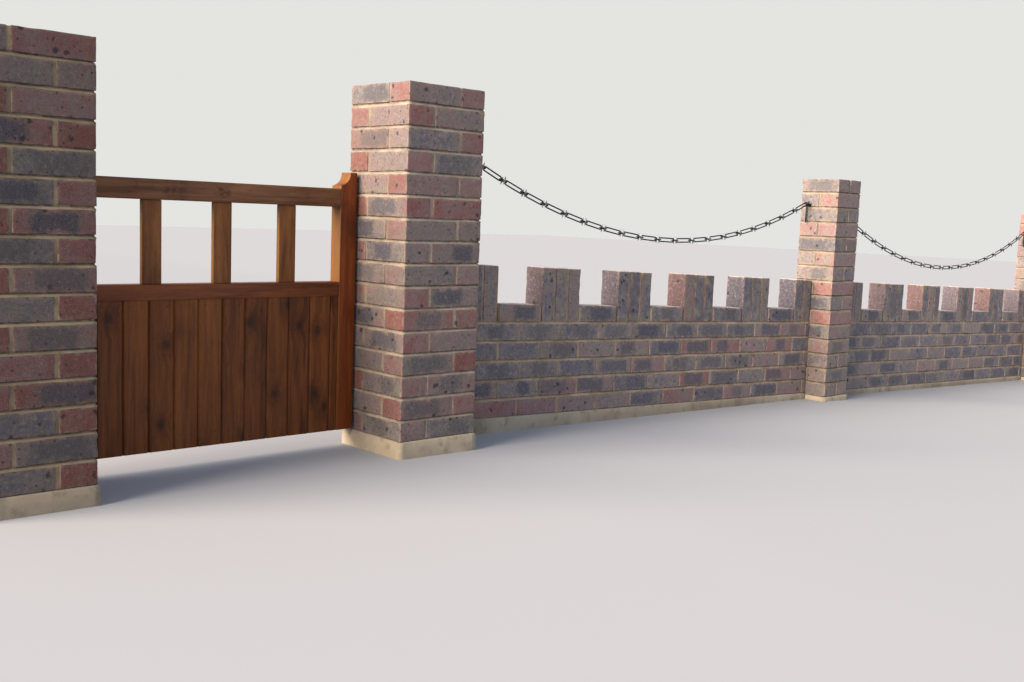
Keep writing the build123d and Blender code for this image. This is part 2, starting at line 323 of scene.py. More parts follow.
def render_material():
    """Cement rendering of the plinths, stained and with greenish damp patches."""
    s = Shader("rendering")
    at = s.place()
    broad = s.noise(at, 3.5, 4.0, 0.6)
    middle = s.noise(at, 24.0, 5.0, 0.62)
    grit = s.noise(at, 600.0, 3.0, 0.7)
    damp = s.noise(s.vec("MULTIPLY", at, (9.0, 9.0, 2.5)), 1.0, 4.0, 0.6)
    colour = s.ramp(broad, [(0.30, "9f917c"), (0.50, "b2a48e"), (0.70, "c1b49e")])
    colour = s.tinted(colour, (middle, 0.50, 0.70, 0.60, "83755f"),
                      (damp, 0.50, 0.70, 0.55, "7f7c63"),
                      (grit, 0.55, 0.72, 0.4, "d8d0bd"), (grit, 0.42, 0.28, 0.4, "665f4c"))
    # Each plinth's brightness: partly its own tone, partly painted shade, darker at the left gate
    # pier and along the bays
    colour = s.scale(colour, s.attribute("tone_and_painted_light"))
    height = s.plus(s.times(grit, 0.6), s.times(middle, 1.4))
    return s.finish(colour, 0.92, s.bump(height, 0.6, 0.0020), Specular_IOR_Level=0.25)


def timber_material(name, grain_way, low, mid, high, knots, marks=(), painted_sunlit_sides=False):
    """Stained softwood, its grain along X or Z. Marks are knots with a place of their own."""
    s = Shader(name)
    shift = s.attribute("wood_shift", "Vector")
    tone = s.attribute("wood_tone")
    at = s.vec("ADD", s.place(), shift)
    x, y, z = s.axes(at)[:3]
    across, along = (s.plus(z, y), x) if grain_way == "X" else (s.plus(x, y), z)
    sheet = s.join(across, s.times(along, 0.72))
    near, pick = s.cells(sheet, 7.2, "2D")
    sparse = s.over(s.split(pick)[0], 1.0 - knots)
    wobble = s.noise(at, 60.0, 3.0, 0.6)
    near = s.plus(near, s.swing(wobble, 0.24))
    knot = s.times(s.ease(near, 0.115, 0.035), sparse)
    halo = s.times(s.ease(near, 0.38, 0.05), sparse)
    # The grain bends round a knot
    line = s.plus(s.times(across, 90.0), s.times(halo, 1.5))
    long = s.join(line, s.times(along, 5.0), s.times(y, 20.0))
    broad = s.noise(long, 0.14, 2.0)
    growth = s.noise(long, 0.60, 3.0, 0.55, 0.8)
    grain = s.noise(long, 2.4, 5.0, 0.65)
    pores = s.noise(long, 9.0, 2.0, 0.6)
    t = s.plus(s.times(growth, 0.60), s.times(grain, 0.40))
    t = s.plus(t, s.swing(tone, 0.18))
    t = s.plus(t, s.swing(broad, 0.38), clamp=True)
    colour = s.ramp(t, [(0.30, low), (0.50, mid), (0.70, high)])
    colour = s.tinted(colour, (pores, 0.54, 0.72, 0.40, "24120a"))
    stain = s.times(halo, s.ease(wobble, 0.34, 0.62, 0.25, 1.0))
    colour = s.mix(s.times(stain, 0.62), colour, "2e160d")
    colour = s.mix(s.times(knot, 0.62), colour, "1c0e08")
    for x0, z0, wide, tall, depth in marks:
        px, _, pz = s.axes(s.place())[:3]
        dx = s.math("DIVIDE", s.minus(px, x0), wide)
        dz = s.math("DIVIDE", s.minus(pz, z0), tall)
        r = s.math("SQRT", s.plus(s.times(dx, dx), s.times(dz, dz)))
        r = s.plus(r, s.swing(wobble, 1.1))
        heart = s.ease(s.noise(sheet, 70.0, 2.0), 0.40, 0.62, 0.35, 1.0)
        colour = s.mix(s.times(s.ease(r, 1.25, 0.35, 0.0, depth), heart), colour, "38201a")
    grime = s.noise(s.vec("MULTIPLY", at, (6.0, 6.0, 3.5)), 1.0, 4.0, 0.65)
    colour = s.tinted(colour, (grime, 0.52, 0.72, 0.50, "2b180f"))
    if painted_sunlit_sides:
        # Sides that look along the gate get a golden brown, painted sunlight on them
        turned = s.math("ABSOLUTE", s.axes(s.place("Normal"))[0])
        painted_sunlight = s.times(s.ease(turned, 0.35, 0.85), s.ease(grain, 0.30, 0.62, 0.45, 0.80))
        colour = s.mix(painted_sunlight, colour, "7a5626")
    height = s.minus(s.times(grain, 0.8), s.times(pores, 0.35))
    return s.finish(colour, s.ease(grain, 0.3, 0.7, 0.46, 0.62), s.bump(height, 0.30, 0.0008),
                    Coat_Weight=0.03, Coat_Roughness=0.35, Specular_IOR_Level=0.22)


def metal_material(name, dark, light, rust, rough, metallic):
    """Mottled metal with small rust spots, which are less metallic."""
    s = Shader(name)
    at = s.place()
    broad = s.noise(at, 28.0, 4.0, 0.6)
    fine = s.noise(at, 260.0, 4.0, 0.65)
    colour = s.mix(s.ease(broad, 0.35, 0.65), dark, light)
    spots = s.times(s.ease(fine, 0.56, 0.70), s.ease(broad, 0.42, 0.60))
    colour = s.mix(s.times(spots, 0.6), colour, rust)
    roughness = s.ease(fine, 0.3, 0.7, rough - 0.08, rough + 0.12)
    return s.finish(colour, roughness, s.bump(fine, 0.25, 0.0004),
                    Metallic=s.ease(spots, 0.0, 1.0, metallic, metallic * 0.4))


brick_mat = brick_material()
mortar_mat = mortar_material()
render_mat = render_material()
# Two knots that show on the top rail, placed from its left end
(RAIL_X0, _, RAIL_Z0), (_, _, RAIL_Z1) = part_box("top_rail")
RAIL_MID = (RAIL_Z0 + RAIL_Z1) / 2
RAIL_KNOTS = ((RAIL_X0 + 0.265, RAIL_MID, 0.040, 0.018, 0.60),
              (RAIL_X0 + 0.432, RAIL_MID, 0.034, 0.020, 0.80))
top_rail_mat = timber_material("timber_top_rail", "X", "553722", "775036", "8d6443",
                               0.1, RAIL_KNOTS)
rail_mat = timber_material("timber_rail", "X", "4c2614", "703d21", "864f2b", 0.1)
stile_mat = timber_material("timber_stile", "Z", "4f240c", "733614", "88471a",
                            0.04, painted_sunlit_sides=True)
baluster_mat = timber_material("timber_baluster", "Z", "522e15", "764925", "8f5d32",
                               0.25, painted_sunlit_sides=True)
board_mat = timber_material("timber_board", "Z", "42200c", "6a3a18", "7f4c20", 0.66)
hinge_mat = metal_material("galvanised", "6d7072", "8f9294", "7a5238", 0.48, 0.85)
chain_mat = metal_material("chain_metal", "1b1c20", "34363c", "4a372c", 0.40, 0.55)
tip_mat = metal_material("worn_metal", "55575c", "8a8c91", "5a4434", 0.36, 0.80)
floor_mat = Shader("pale_floor").finish((0.37, 0.38, 0.40, 1.0), 0.95, Specular_IOR_Level=0.1)


# -------------------- mesh helpers
LAYER_KINDS = {1: ("FLOAT", "value"), 3: ("FLOAT_VECTOR", "vector"), 4: ("FLOAT_COLOR", "color")}


def add_layers(mesh, layers):
    """Attributes with a number, a vector or a colour for every vertex."""
    for key, values in layers.items():
        values = np.asarray(values, np.float32)
        kind, field = LAYER_KINDS[values.size // len(values)]
        layer = mesh.attributes.new(key, kind, "POINT")
        layer.data.foreach_set(field, values.ravel())


def build(name, verts, faces, body, material, slot, replaces=(), layers=None, sharp=None):
    """A shown piece of the given body, with the shaders' layers."""
    mesh = bpy.data.meshes.new(name)
    mesh.from_pydata([tuple(v) for v in verts], [], [tuple(f) for f in faces])
    mesh.polygons.foreach_set("use_smooth", [True] * len(mesh.polygons))
    add_layers(mesh, layers or {})
    if sharp:
        mesh.set_sharp_from_angle(angle=math.radians(sharp))
    mesh.materials.append(material)
    obj = bpy.data.objects.new(name, mesh)
    scene.collection.objects.link(obj)
    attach(obj, body)
    if replaces:
        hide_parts(*replaces)


def circle(n):
    """Directions round a circle, as cosine and sine."""
    return [(math.cos(2 * math.pi * i / n), math.sin(2 * math.pi * i / n)) for i in range(n)]


def hoops(start, count, around):
    """Quads between rings of vertices, ring after ring from vertex start."""
    faces = []
    for k in range(count - 1):
        for i in range(around):
            p, q = start + k * around + i, start + k * around + (i + 1) % around
            faces.append((p, q, q + around, p + around))
    return faces


def point_cap(last, around):
    """Triangles from the last ring, which starts at vertex last, to the one vertex after it."""
    return [(last + i, last + (i + 1) % around, last + around) for i in range(around)]


# -------------------- bricks
SPACING = 0.026         # of the grid in the middle of a face
EDGE_LINES = [0.0, 0.0034, 0.009, 0.019]
EDGE_REACH = 0.012      # how far from an arris its wear goes
ARRIS = 0.0028          # radius
SKIN, ROUGHNESS, CHIP = 0.0007, 0.0009, 0.0050      # depths taken off
# How much a brick may differ from the next: smaller, shifted and turned (degrees)
SHRINKAGE, SHIFT_X, SHIFT_Z, LEAN = 0.0016, 0.0012, 0.0009, 0.35
GROWTH = (0.0016, 0.0016, 0.0011)                   # into each joint
FLUSH = 0.003           # a face this close to the node's side lies in it


def stops(half):
    """Grid lines across one side of a brick, close together at the arrises."""
    edge = EDGE_LINES if half > SPACING else EDGE_LINES[:-1]
    middle = 2 * (half - edge[-1])
    n = max(1, round(middle / SPACING))
    inner = [edge[-1] + middle * i / n for i in range(1, n)]
    line = edge + inner + [2 * half - e for e in reversed(edge)]
    return [v - half for v in line]


grids = {}


def brick_grid(size):
    """Surface grid of a block: corner places, faces, closeness to an arris, unit places."""
    key = tuple(round(v, 5) for v in size)
    if key in grids:
        return grids[key]
    lines = [stops(v / 2) for v in size]
    nx, ny, nz = [len(v) - 1 for v in lines]
    index, points = {}, []

    def at(i, j, k):
        if (i, j, k) not in index:
            index[i, j, k] = len(points)
            points.append((lines[0][i], lines[1][j], lines[2][k]))
        return index[i, j, k]

    faces = []
    for j in range(ny):
        for k in range(nz):
            faces.append((at(0, j, k), at(0, j, k + 1), at(0, j + 1, k + 1), at(0, j + 1, k)))
            faces.append((at(nx, j, k), at(nx, j + 1, k), at(nx, j + 1, k + 1), at(nx, j, k + 1)))
    for i in range(nx):
        for k in range(nz):
            faces.append((at(i, 0, k), at(i + 1, 0, k), at(i + 1, 0, k + 1), at(i, 0, k + 1)))
            faces.append((at(i, ny, k), at(i, ny, k + 1), at(i + 1, ny, k + 1), at(i + 1, ny, k)))
    for i in range(nx):
        for j in range(ny):
            faces.append((at(i, j, 0), at(i, j + 1, 0), at(i + 1, j + 1, 0), at(i + 1, j, 0)))
            faces.append((at(i, j, nz), at(i + 1, j, nz), at(i + 1, j + 1, nz), at(i, j + 1, nz)))
    p = np.array(points)
    half = np.array(size) / 2
    gap = np.sort(half - np.abs(p), axis=1)[:, 1]
    edge = np.clip(1 - gap / EDGE_REACH, 0, 1)
    unit = p / half
    core = np.clip(p, -(half - ARRIS), half - ARRIS)
    out = p - core
    out /= np.maximum(np.linalg.norm(out, axis=1, keepdims=True), 1e-9)
    grids[key] = (core + out * ARRIS, out, np.array(faces), edge, unit)
    return grids[key]


# A brick's own axes when it lies along X, along Y, or stands as a soldier
TURN = {
    "x": np.eye(3),
    "y": np.array([[0, -1, 0], [1, 0, 0], [0, 0, 1]], float),
    "up": np.array([[0, 0, -1], [0, 1, 0], [1, 0, 0]], float),
}


def brickwork(name, bricks, base, raked, replaces, seed, tones, tone_and_painted_light=1.0, header=0.08, bed=1.0):
    """One mesh of separate bricks, each (centre, size, way) with its height from the plinth top."""
    rng = random.Random(seed)
    bricks = [fuller(*b, replaces[0], base, raked) for b in bricks]
    limits = [np.array(corner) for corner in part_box(replaces[0])]
    verts, faces, own, local, units, edges, marks, upright = ([] for _ in range(8))
    count = 0
    for centre, size, way in bricks:
        shrunk = [v - rng.uniform(0.0, SHRINKAGE) for v in size]
        body, out, quads, edge, unit = brick_grid([round(v, 4) for v in shrunk])
        offset = Vector([rng.uniform(-50, 50) for _ in range(3)])
        push = np.empty(len(body))
        for i, p in enumerate(body):
            at = Vector(p)
            low = noise.noise(at * 30 + offset)
            chip = noise.noise(at * 75 - offset)
            push[i] = -SKIN - ROUGHNESS * low - edge[i] * CHIP * max(0.0, chip - 0.15)
        pts = body + out * push[:, None]
        lean = [math.radians(rng.uniform(-LEAN, LEAN)) for _ in range(3)]
        spin = np.array(Matrix.Rotation(lean[2], 3, "Z") @ Matrix.Rotation(lean[1], 3, "Y"))
        turn = TURN[way]
        if rng.random() < 0.5:
            turn = turn @ np.diag([-1.0, -1.0, 1.0])
        pts = pts @ spin.T @ turn.T
        shift = [rng.uniform(-SHIFT_X, SHIFT_X), 0.0, rng.uniform(-SHIFT_Z, SHIFT_Z)]
        pts = pts + np.array(centre) + np.array(shift)
        pts[:, 2] += np.array([level(x) for x in pts[:, 0]]) if raked else base
        pts = np.clip(pts, *limits)
        verts.append(pts)
        faces.append(quads + count)
        count += len(pts)
        chosen = TOP_TONES if raked and centre[2] > WALL_TOP else tones
        tone = rng.choices([t for t, _ in chosen], [w for _, w in chosen])[0]
        tone += rng.uniform(-0.08, 0.08)
        # The kiln mark: whether it is there, its place, half its length and its strength
        chance = 0.25 if way == "up" else 0.62 if tone < 0.5 else 0.42
        marked = 1.0 if rng.random() < chance else 0.0
        at_x = rng.uniform(-0.035, 0.035) * size[0] / LENGTH
        half = rng.uniform(0.035, 0.085) * size[0] / LENGTH
        # The last value is a random tone times the piece's painted light or shade
        values = [tone, 0.5 + at_x, half, tone_and_painted_light * rng.uniform(0.93, 1.07)]
        own.append(np.tile(values, (len(pts), 1)))
        marks.append(np.full(len(pts), marked * rng.uniform(0.55, 1.0)))
        upright.append(np.full(len(pts), 1.0 if way == "up" else 0.0))
        local.append(body)
        units.append(unit)
        edges.append(edge)
    layers = {"brick_own": own, "brick_local": local, "brick_unit": units, "brick_edge": edges,
              "brick_mark": marks, "brick_upright": upright}
    layers = {key: np.concatenate(values) for key, values in layers.items()}
    layers.update(brick_header=np.full(count, header), brick_bed=np.full(count, bed))
    build(name, np.concatenate(verts), np.concatenate(faces), "wall", brick_mat, "brickwork",
          replaces, layers)


def fuller(centre, size, way, node, base, raked):
    """Grows a brick a little into each joint; faces at the node's own sides stay where they are."""
    spread = {"x": (0, 1, 2), "y": (1, 0, 2), "up": (2, 1, 0)}[way]
    (x0, y0, _), (x1, y1, z1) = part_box(node)
    low = [x0, y0, 0.0]
    high = [x1, y1, math.inf if raked else z1 - base]
    if raked and way == "up":
        high[2] = centre[2] + size[0] / 2
    centre, size = list(centre), list(size)
    for axis in range(3):
        half = size[spread[axis]] / 2
        a, b = centre[axis] - half, centre[axis] + half
        grown_a = a if abs(a - low[axis]) < FLUSH else a - GROWTH[axis]
        grown_b = b if abs(b - high[axis]) < FLUSH else b + GROWTH[axis]
        centre[axis] = (grown_a + grown_b) / 2
        size[spread[axis]] = grown_b - grown_a
    return tuple(centre), tuple(size), way


def gate_pier_bricks(x0, y0, courses, mirrored):
    """Four bricks turning round a half brick, each course the mirror of the one below."""
    side = LENGTH + JOINT + WIDTH
    half_l, half_w = LENGTH / 2, WIDTH / 2
    plan = [
        (half_l, half_w, "x"), (side - half_w, half_l, "y"),
        (side - half_l, side - half_w, "x"), (half_w, side - half_l, "y"),
    ]
    for c in range(courses):
        top = courses - 1 - c
        z = c * COURSE + HEIGHT / 2
        flip = (top % 2 == 1) != mirrored
        for x, y, way in plan:
            yield (x0 + (side - x if flip else x), y0 + y, z), BRICK, way
        if top == 0:
            yield (x0 + side / 2, y0 + side / 2, z), (WIDTH, WIDTH, HEIGHT), "x"


def small_pier_bricks(x0, y0, courses):
    """Two bricks side by side, turned a quarter each course."""
    near, far = WIDTH / 2, LENGTH - WIDTH / 2
    for c in range(courses):
        z = c * COURSE + HEIGHT / 2
        for across in (near, far):
            if (courses - 1 - c) % 2 == 0:
                yield (x0 + across, y0 + LENGTH / 2, z), BRICK, "y"
            else:
                yield (x0 + LENGTH / 2, y0 + across, z), BRICK, "x"


FIRST_CUTS = (0.1925, 0.080)      # first upright joint of a bay, course by course


def bay_bricks(x0, x1, spans):
    """Stretcher bond, with one stretcher on top between merlons."""
    y = REAR - WIDTH / 2
    for c in range(WALL_COURSES):
        z = c * COURSE + HEIGHT / 2
        cuts = [x0 - JOINT / 2]
        at = x0 + FIRST_CUTS[c % 2]
        while at < x1 - 0.02:
            cuts.append(at)
            at += LENGTH + JOINT
        cuts.append(x1 + JOINT / 2)
        for a, b in zip(cuts, cuts[1:]):
            yield ((a + b) / 2, y, z), (b - a - JOINT, WIDTH, HEIGHT), "x"
    for (_, left), (right, _) in zip(spans, spans[1:]):
        z = WALL_TOP + HEIGHT / 2
        yield ((left + right) / 2, y, z), (right - left - 2 * JOINT, WIDTH, HEIGHT), "x"


def soldier_bricks(left, right):
    """The upright bricks of one merlon."""
    n = round((right - left + JOINT) / COURSE)
    for i in range(n):
        x = left + i * COURSE + HEIGHT / 2
        yield (x, REAR - WIDTH / 2, WALL_TOP + LENGTH / 2), BRICK, "up"


# -------------------- mortar and rendering
BEVEL = 0.006           # of a plinth's top edge
# Rows of (height, inset) for the bay's top, the sill between merlons and a merlon
WALL_TOP_ROW = (0.3746, 0.0030)
SILL_ROWS = [(0.372, 0.003), (0.3795, 0.0032), (0.432, 0.0032), (0.4365, 0.0045)]
MERLON_ROWS = [(0.366, 0.004), (0.3745, 0.0046), (0.381, 0.0032), (0.50, 0.0032),
               (0.583, 0.0036), (0.5862, 0.005)]


def rings(x0, x1, y0, y1, rows, where, wobble=0.0009, step=0.013):
    """Closed block with rows of (height, inset, tint), the tint being painted shading: painted sky
    light below 0, painted shade above 0; where(x, height) gives the real height.
    """
    nx = max(2, round((x1 - x0) / step))
    ny = max(2, round((y1 - y0) / step))
    edge = [(i / nx, 0.0) for i in range(nx)] + [(1.0, j / ny) for j in range(ny)]
    edge += [(1 - i / nx, 1.0) for i in range(nx)] + [(0.0, 1 - j / ny) for j in range(ny)]
    verts, tints = [], []
    around = len(edge)

    def point(u, v, height, inset, rough):
        x = x0 + inset + u * (x1 - x0 - 2 * inset)
        y = y0 + inset + v * (y1 - y0 - 2 * inset)
        if rough:
            n = wobble * (noise.noise(Vector((x * 42, y * 42, height * 42))) - 0.35)
            x += n if u == 1 else -n if u == 0 else 0
            y += n if v == 1 else -n if v == 0 else 0
        return x, y, where(x, height)

    rows = [(*row, 0.0)[:3] for row in rows]
    for height, inset, tint in rows:
        verts += [point(u, v, height, inset, True) for u, v in edge]
        tints += [tint] * around
    faces = hoops(0, len(rows), around)
    for r, down in ((0, True), (len(rows) - 1, False)):
        height, inset, _ = rows[r]
        grid = {(round(u * nx), round(v * ny)): r * around + i for i, (u, v) in enumerate(edge)}
        for i in range(1, nx):
            for j in range(1, ny):
                grid[i, j] = len(verts)
                verts.append(point(i / nx, j / ny, height, inset, False))
                tints.append(0.0)
        for i in range(nx):
            for j in range(ny):
                quad = (grid[i, j], grid[i + 1, j], grid[i + 1, j + 1], grid[i, j + 1])
                faces.append(quad[::-1] if down else quad)
    return verts, faces, tints


def joint_rows(courses, last_joint, deep=1.0):
    """Weathered joints: struck back under the brick above, flush on the brick below."""
    back = 0.0016 + 0.0016 * deep
    rows = [(0.0, 0.0030)]
    for c in range(courses):
        z = c * COURSE
        top, above = z + HEIGHT, z + COURSE
        rows += [(z + 0.006, back), (top - 0.005, back)]
        if c < courses - 1 or last_joint:
            # Third values are the painted shading: painted sky light (-1) on the brick below,
            # painted shade (up to 1) under the brick above
            joint = ((top + 0.0012, 0.0, -1.0), (top + 0.0046, 0.0012, -0.1),
                     (above - 0.0034, 0.0034, 0.6 * deep), (above - 0.0012, 0.0042, deep))
            rows += [(height, 0.0010 + depth * deep, tint) for height, depth, tint in joint]
        else:
            rows.append((top - 0.0035, 0.0045))
    return rows


def merge(parts):
    """Several (verts, faces) or (verts, faces, values) as one."""
    verts, faces, rest = [], [], []
    for v, f, *more in parts:
        faces += [tuple(i + len(verts) for i in q) for q in f]
        verts += v
        for values in more:
            rest += values
    return (verts, faces, rest) if rest else (verts, faces)


def mortar(name, block, tone_and_painted_light):
    verts, faces, tints = block
    layers = {"joint_painted_shading": tints, "mortar_tint_and_painted_light": [(*tone_and_painted_light, 1.0)] * len(verts)}
    build(name + "_mortar", verts, faces, "wall", mortar_mat, "brickwork", layers=layers)


def falling(x, height):
    return level(x) + height


def plinth(node, top_at, tone_and_painted_light=1.0):
    """Rendered block with a bevelled top edge, slightly uneven faces and a level underside."""
    (x0, y0, z0), (x1, y1, _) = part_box(node)
    shares = [0.0, 0.12, 0.25, 0.38, 0.5, 0.62, 0.75, 0.88]
    rows = [(s, 0.0004) for s in shares] + [(1.0, 0.0010), (2.0, BEVEL * 0.55), (3.0, BEVEL)]

    def where(x, height):
        """Rows up to 1 share out the side, rows 2 and 3 make the bevel."""
        edge = top_at(x) - BEVEL
        if height <= 1:
            return z0 + height * (edge - z0)
        return edge + (height - 1) / 2 * BEVEL - (0.0006 if height > 2.5 else 0.0)

    verts, faces, _ = rings(x0, x1, y0, y1, rows, where, 0.0012, 0.02)
    verts = [(min(max(x, x0), x1), min(max(y, y0), y1), z) for x, y, z in verts]
    build(node + "_render", verts, faces, "wall", render_mat, "render", [node],
          {"tone_and_painted_light": [tone_and_painted_light] * len(verts)})


# -------------------- the brick pieces
# Tones of (place on the brick's colour ramp, weight)
PIER_TONES = [(0.22, 15), (0.44, 35), (0.60, 28), (0.78, 22)]
LEFT_TONES = [(0.24, 24), (0.48, 28), (0.68, 24), (0.88, 24)]
SMALL_PIER_TONES = [(0.20, 28), (0.36, 38), (0.52, 27), (0.68, 7)]
NEAR_TONES = [(0.16, 24), (0.38, 32), (0.58, 24), (0.76, 20)]
FAR_TONES = [(0.06, 38), (0.24, 34), (0.42, 22), (0.60, 6)]
TOP_TONES = [(0.08, 35), (0.24, 35), (0.42, 25), (0.58, 5)]


def pier(name, lay, courses, seed, tones, tone_and_painted_light, header, joint_tint_and_painted_light, foot_tone_and_painted_light=1.0):
    """A pier's bricks, mortar and plinth; lay(x0, y0, courses) gives the bricks."""
    (x0, y0, z0), (x1, y1, _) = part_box(name)
    brickwork(name + "_bricks", lay(x0, y0, courses), z0, False, [name], seed, tones, tone_and_painted_light, header)
    block = rings(x0, x1, y0, y1, joint_rows(courses, False), lambda x, height: z0 + height)
    mortar(name, block, joint_tint_and_painted_light)
    plinth(name + "_plinth", lambda x: z0, foot_tone_and_painted_light)


# After the tones come each piece's brightness, header tone, joint colour and plinth brightness;
# brightness and colours are partly own tone, partly painted light, the left gate pier darkened as
# painted shade
pier("left_gate_pier", partial(gate_pier_bricks, mirrored=True), GATE_PIER_COURSES, 11,
     LEFT_TONES, 0.64, 0.34, (0.76, 0.72, 0.61), 0.68)
pier("right_gate_pier", partial(gate_pier_bricks, mirrored=False), GATE_PIER_COURSES, 12,
     PIER_TONES, 0.98, 0.24, (0.98, 0.98, 0.99))
for name, seed in (("middle_pier", 13), ("end_pier", 14)):
    pier(name, small_pier_bricks, SMALL_PIER_COURSES, seed,
         SMALL_PIER_TONES, 1.28, 0.06, (0.90, 0.88, 0.86))

# The bays' brick brightness and joint colour are partly own tone, partly painted light that
# lightens them
for bay, tones, seed, tone_and_painted_light, bed, joint_tint_and_painted_light in (
    ("near", NEAR_TONES, 21, 1.32, 1.0, (1.16, 1.08, 0.93)),
    ("far", FAR_TONES, 41, 1.46, 1.20, (1.10, 1.06, 0.98)),
):
    (x0, y0, _), (x1, y1, _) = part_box(bay + "_wall")
    merlons = [f"{bay}_merlon_{i}" for i in range(1, 7)]
    spans = [(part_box(m)[0].x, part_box(m)[1].x) for m in merlons]
    brickwork(bay + "_wall_bricks", bay_bricks(x0, x1, spans), 0.0, True, [bay + "_wall"],
              seed, tones, tone_and_painted_light)
    rows = joint_rows(WALL_COURSES, True, 0.75)[:-1] + [WALL_TOP_ROW]
    parts = [rings(x0, x1, y0, y1, rows, falling)]
    for (_, left), (right, _) in zip(spans, spans[1:]):
        parts.append(rings(left - 0.0015, right + 0.0015, y0, y1, SILL_ROWS, falling))
    mortar(bay + "_wall", merge(parts), joint_tint_and_painted_light)
    for i, (name, (left, right)) in enumerate(zip(merlons, spans)):
        brickwork(name + "_bricks", soldier_bricks(left, right), 0.0, True, [name],
                  seed + 2 + i, tones, tone_and_painted_light * 0.95, bed=bed)
        mortar(name, rings(left, right, y0, y1, MERLON_ROWS, falling), joint_tint_and_painted_light)
    plinth(bay + "_wall_plinth", level, 0.82)


# -------------------- gate
TIMBER_ARRIS, STEEL_ARRIS = 0.0022, 0.0007
GATE_BACK = REAR - 0.006
STRAP = 0.005           # thickness of the hinge bands and plates
V_JOINT = 0.005
BOARD_GAP = 0.0003      # on each side of a board
DOME = ((1.0, 0.0), (0.97, 0.35), (0.78, 0.72), (0.42, 0.94))


def softened(node, material, body, width, seed, suffix, sharp=35, segments=2):
    """The node's own shape with its arrises taken off."""
    bm = bmesh.new()
    bm.from_mesh(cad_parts[node].data)
    bmesh.ops.remove_doubles(bm, verts=bm.verts, dist=1e-5)
    bmesh.ops.dissolve_limit(bm, angle_limit=math.radians(1), verts=bm.verts, edges=bm.edges)
    edges = [e for e in bm.edges
             if len(e.link_faces) == 2 and e.calc_face_angle(0.0) > math.radians(sharp)]
    bmesh.ops.bevel(bm, geom=edges, offset=width, segments=segments, profile=0.5,
                    affect="EDGES", clamp_overlap=True)
    bmesh.ops.triangulate(bm, faces=[f for f in bm.faces if len(f.verts) > 4])
    bmesh.ops.dissolve_degenerate(bm, dist=1e-5, edges=bm.edges)
    mesh = bpy.data.meshes.new(node + suffix)
    bm.to_mesh(mesh)
    bm.free()
    mesh.polygons.foreach_set("use_smooth", [True] * len(mesh.polygons))
    mesh.set_sharp_from_angle(angle=math.radians(30))
    wood_layers(mesh, seed)
    mesh.materials.clear()
    mesh.materials.append(material)
    obj = bpy.data.objects.new(node + suffix, mesh)
    scene.collection.objects.link(obj)
    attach(obj, body)
    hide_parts(node)


def wood_layers(mesh, seed):
    """The grain's shift and tone for one piece of timber."""
    rng = random.Random(seed)
    shift = [rng.uniform(-4, 4) for _ in range(3)]
    tone = rng.uniform(0.3, 0.7)
    count = len(mesh.vertices)
    add_layers(mesh, {"wood_shift": [shift] * count, "wood_tone": [tone] * count})


for i, (node, mat) in enumerate((
    ("hanging_stile", stile_mat), ("closing_stile", stile_mat), ("top_rail", top_rail_mat),
    ("middle_rail", rail_mat), ("bottom_rail", rail_mat), ("baluster_1", baluster_mat),
    ("baluster_2", baluster_mat), ("baluster_3", baluster_mat), ("brace", rail_mat),
)):
    softened(node, mat, "gate", TIMBER_ARRIS, 60 + i, "_timber")


def board_edges():
    """Ten whole boards in the middle and a cut one at each side."""
    (x0, _, _), (x1, _, _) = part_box("boarding")
    whole, width = 10, 0.081
    cut = (x1 - x0 - whole * width) / 2
    return [x0] + [x0 + cut + i * width for i in range(whole + 1)] + [x1]


def boards():
    """Upright boards, each with its own tone, their front edges chamfered into a V joint."""
    (_, y0, z0), (_, y1, z1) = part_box("boarding")
    edges = board_edges()
    last, rows = len(edges) - 2, 13
    rng = random.Random(77)
    verts, faces, shift, tone = [], [], [], []
    for b in range(last + 1):
        a, c = edges[b] + BOARD_GAP, edges[b + 1] - BOARD_GAP
        left = V_JOINT if b > 0 else 0.001
        right = V_JOINT if b < last else 0.001
        dish = rng.uniform(-0.0004, 0.0003)
        profile = [(a, y1), (a, y0 + left), (a + left * 0.35, y0 + left * 0.42),
                   (a + left, y0 + 0.0002)]
        for s in (0.25, 0.5, 0.75):
            profile.append((a + left + s * (c - right - a - left),
                            y0 + 0.0006 + dish * 4 * s * (1 - s)))
        profile += [(c - right, y0 + 0.0002), (c - right * 0.35, y0 + right * 0.42),
                    (c, y0 + right), (c, y1)]
        n = len(profile)
        start = len(verts)
        bow = rng.uniform(0, 6)
        for r in range(rows):
            z = z0 + (z1 - z0) * r / (rows - 1)
            for x, y in profile:
                lift = 0.0003 * math.sin(bow + 5 * z) if y < y1 else 0.0
                verts.append((x, y + 0.0003 + lift if y < y1 else y, z))
        faces += [(p, s, r, q) for p, q, r, s in hoops(start, rows, n)]
        faces.append(tuple(range(start, start + n)))
        faces.append(tuple(reversed(range(len(verts) - n, len(verts)))))
        own = [rng.uniform(-4, 4) for _ in range(3)]
        shift += [own] * (n * rows)
        tone += [rng.uniform(0.25, 0.85)] * (n * rows)
    build("boarding_boards", verts, faces, "gate", board_mat, "stained_timber", ["boarding"],
          {"wood_shift": shift, "wood_tone": tone}, 30)


boards()


def domes(name, places, radius, height, body, material, out=(0, 1, 0)):
    """Low round heads of steel, all facing one way."""
    verts, faces = [], []
    up = Vector(out)
    side = Vector((1, 0, 0))
    other = up.cross(side)
    n = 14
    for place in places:
        start = len(verts)
        c = Vector(place)
        for r, h in DOME:
            verts += [c + (side * cos + other * sin) * radius * r + up * height * h
                      for cos, sin in circle(n)]
        verts.append(c + up * height)
        faces += hoops(start, len(DOME), n)
        faces += point_cap(start + (len(DOME) - 1) * n, n)
        faces.append(tuple(start + i for i in reversed(range(n))))
    build(name, verts, faces, body, material, "galvanised_steel", sharp=50)


